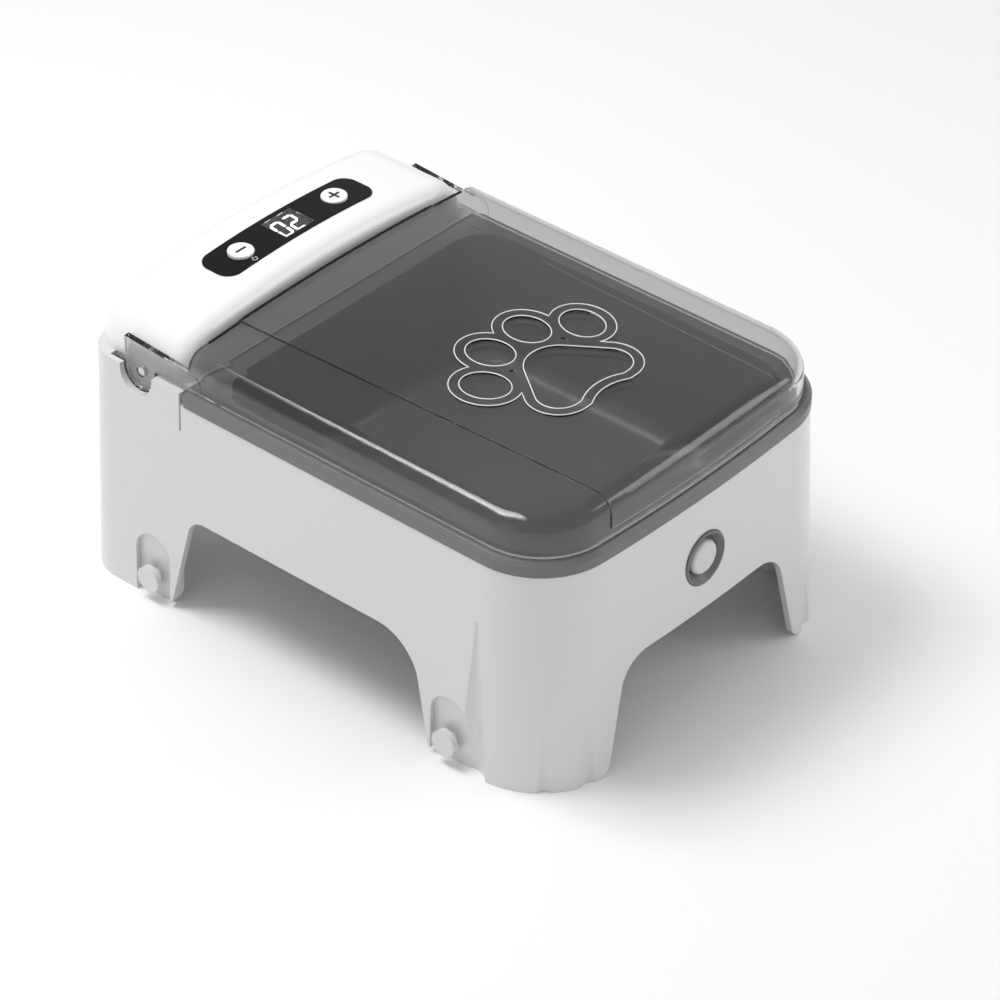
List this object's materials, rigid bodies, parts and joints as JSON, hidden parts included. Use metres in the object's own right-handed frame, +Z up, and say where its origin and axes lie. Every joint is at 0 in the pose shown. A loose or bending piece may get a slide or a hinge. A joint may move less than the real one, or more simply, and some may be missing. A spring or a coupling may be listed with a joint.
{
  "type": "automatic pet feeder",
  "caption": "Timed pet feeder: a grey food bowl under a clear hinged lid in a white four-legged shell, with a control housing behind and a round opening button in front.",
  "frame": {"origin": "on the floor, under the middle of the feeder's overall outline", "axes": "+Z up; +Y from the opening button at the front to the control housing at the rear; +X to the right seen from the front"},
  "size_m": [0.17, 0.23, 0.1204],
  "materials": {
    "white_shell": "smooth glossy white ABS",
    "bowl_grey": "satin dark grey plastic",
    "clear_lid": "clear polished plastic with a faint smoky tint",
    "panel_black": "smooth black overlay",
    "display_grey": "smoked window over a seven-segment display",
    "module_white": "moulded",
    "key_white": "smooth white",
    "button_light": "smooth light grey, domed",
    "board_green": "glass-epoxy circuit board",
    "switch_black": "moulded",
    "cell_wrap": "shrink wrap over a steel can",
    "steel": "plain steel",
    "nickel": "nickel plate",
    "copper": "enamelled winding"
  },
  "bodies": {
    "base": {"base_shell": "white_shell", "bowl": "bowl_grey", "housing_top": "white_shell", "panel_overlay": "panel_black", "display_window": "display_grey", "display_module": "module_white", "main_board": "board_green", "key_switches": "switch_black", "buzzer": "switch_black", "usb_port": "steel", "control_tray": "white_shell", "battery_door": "white_shell", "battery_cell": "cell_wrap", "battery_contacts": "nickel", "solenoid_frame": "steel", "solenoid_coil": "copper", "button_bezel": "bowl_grey", "button_switch": "switch_black", "button_board": "board_green", "button_screws": "steel", "deck_screws": "steel", "tray_screws": "steel", "board_screws": "steel", "torsion_spring": "steel", "button_spring": "steel", "bolt_spring": "steel"},
    "lid": {"lid": "clear_lid", "hinge_pin_left": "steel", "hinge_pin_right": "steel", "latch_disc": "module_white"},
    "minus_key": {"minus_key": "key_white"},
    "plus_key": {"plus_key": "key_white"},
    "open_button": {"open_button": "button_light", "button_clip": "steel"},
    "latch_bolt": {"latch_bolt": "steel"}
  },
  "joints": [
    {"name": "lid_hinge", "type": "hinge", "parent": "base", "child": "lid", "pos_m": [0, 0.084, 0.094], "axis": [-1, 0, 0], "range_deg": [0, 75], "deforming": ["torsion_spring"]},
    {"name": "minus_key_press", "type": "slide", "parent": "base", "child": "minus_key", "axis": [0, 0, -1], "range_m": [0, 0.0005], "stiffness_N_per_m": 1500, "springref_m": -0.0005},
    {"name": "plus_key_press", "type": "slide", "parent": "base", "child": "plus_key", "axis": [0, 0, -1], "range_m": [0, 0.0005], "stiffness_N_per_m": 1500, "springref_m": -0.0005},
    {"name": "open_button_press", "type": "slide", "parent": "base", "child": "open_button", "axis": [0, 1, 0], "range_m": [0, 0.0012], "stiffness_N_per_m": 800, "springref_m": -0.001, "deforming": ["button_spring"]},
    {"name": "latch_bolt_slide", "type": "slide", "parent": "base", "child": "latch_bolt", "axis": [-1, 0, 0], "range_m": [0, 0.002], "stiffness_N_per_m": 400, "springref_m": -0.001, "deforming": ["bolt_spring"]}
  ]
}
